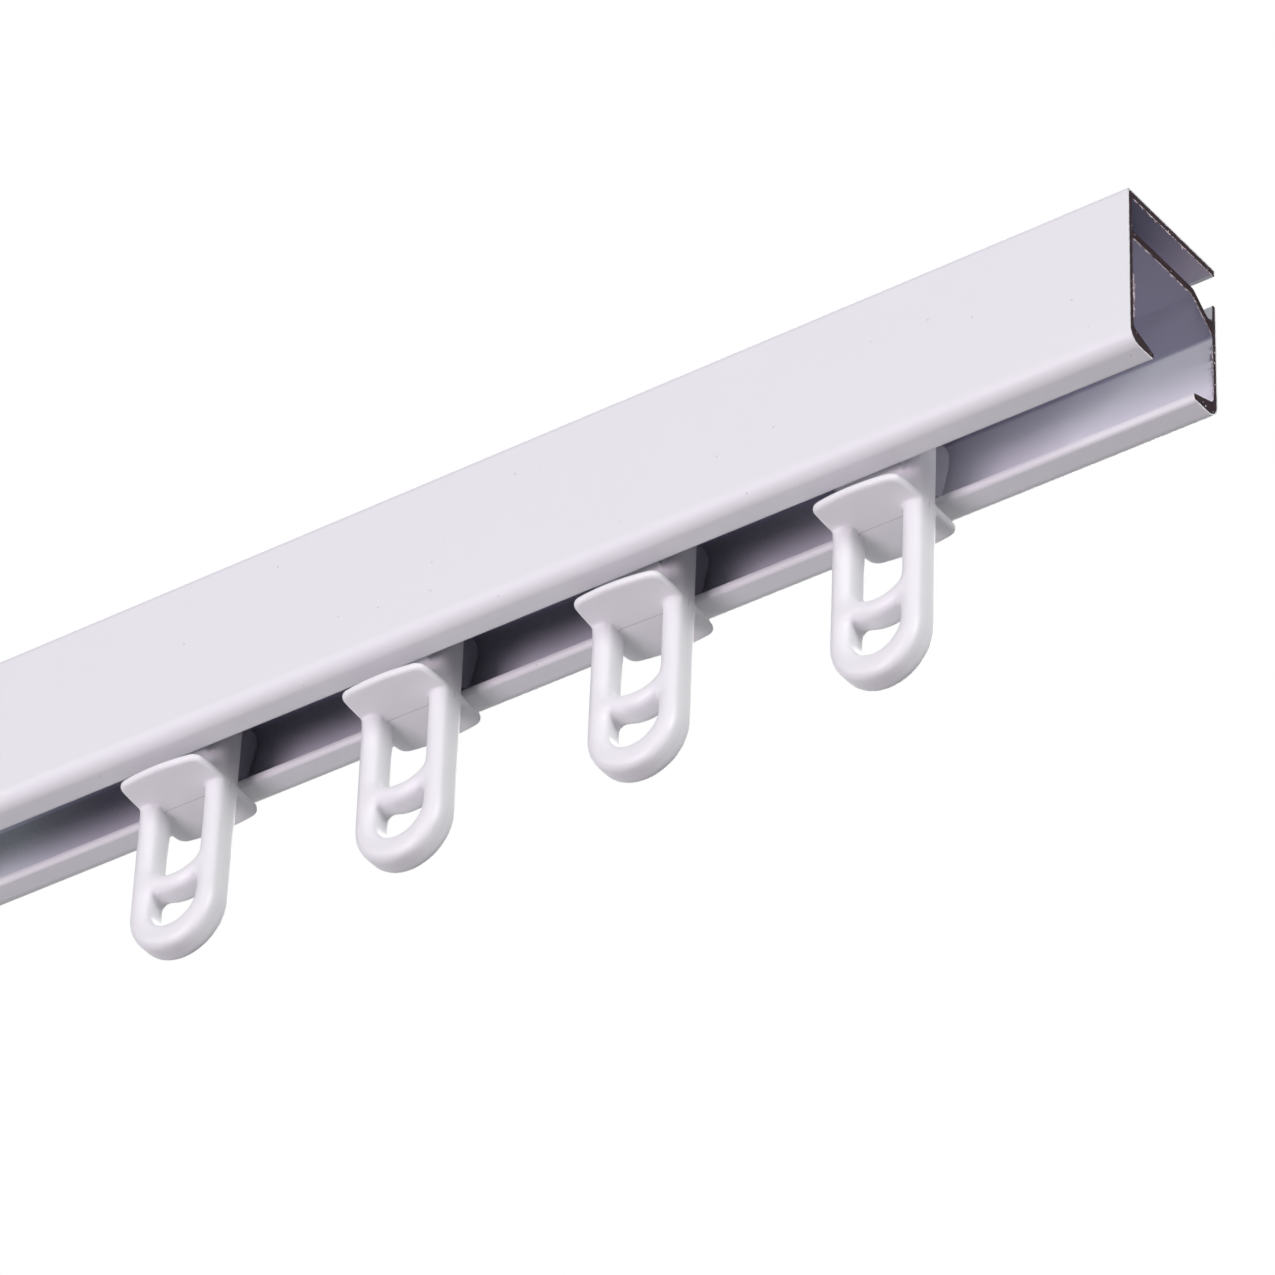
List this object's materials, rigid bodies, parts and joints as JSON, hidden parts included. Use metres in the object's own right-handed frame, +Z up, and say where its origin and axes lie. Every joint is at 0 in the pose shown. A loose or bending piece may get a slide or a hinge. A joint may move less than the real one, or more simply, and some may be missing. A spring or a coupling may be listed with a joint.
{
  "type": "curtain track",
  "caption": "Slotted white extruded rail for ceiling or bracket fixing, with one-piece plastic gliders whose two-part hook eyes hang under the slot.",
  "frame": {"origin": "middle of the rail's flat top face", "axes": "+X along the rail towards the cut end that shows, +Y from the plain front wall to the rear wall with the bracket channel, +Z up"},
  "size_m": [0.18, 0.018, 0.0469],
  "materials": {
    "rail_lacquer": "white stove lacquer on an aluminium extrusion, satin, with bare cut ends",
    "glider_plastic": "moulded white nylon, smooth with a soft sheen"
  },
  "bodies": {
    "rail": {"rail": "rail_lacquer"},
    "glider_1": {"glider_1": "glider_plastic"},
    "glider_2": {"glider_2": "glider_plastic"},
    "glider_3": {"glider_3": "glider_plastic"},
    "glider_4": {"glider_4": "glider_plastic"}
  },
  "joints": [
    {"name": "slide_1", "type": "slide", "parent": "rail", "child": "glider_1", "axis": [1, 0, 0], "range_m": [-0.0101, 0.0324]},
    {"name": "slide_2", "type": "slide", "parent": "rail", "child": "glider_2", "axis": [1, 0, 0], "range_m": [-0.01, 0.0101]},
    {"name": "slide_3", "type": "slide", "parent": "rail", "child": "glider_3", "axis": [1, 0, 0], "range_m": [-0.01, 0.01]},
    {"name": "slide_4", "type": "slide", "parent": "rail", "child": "glider_4", "axis": [1, 0, 0], "range_m": [-0.0361, 0.01]}
  ]
}
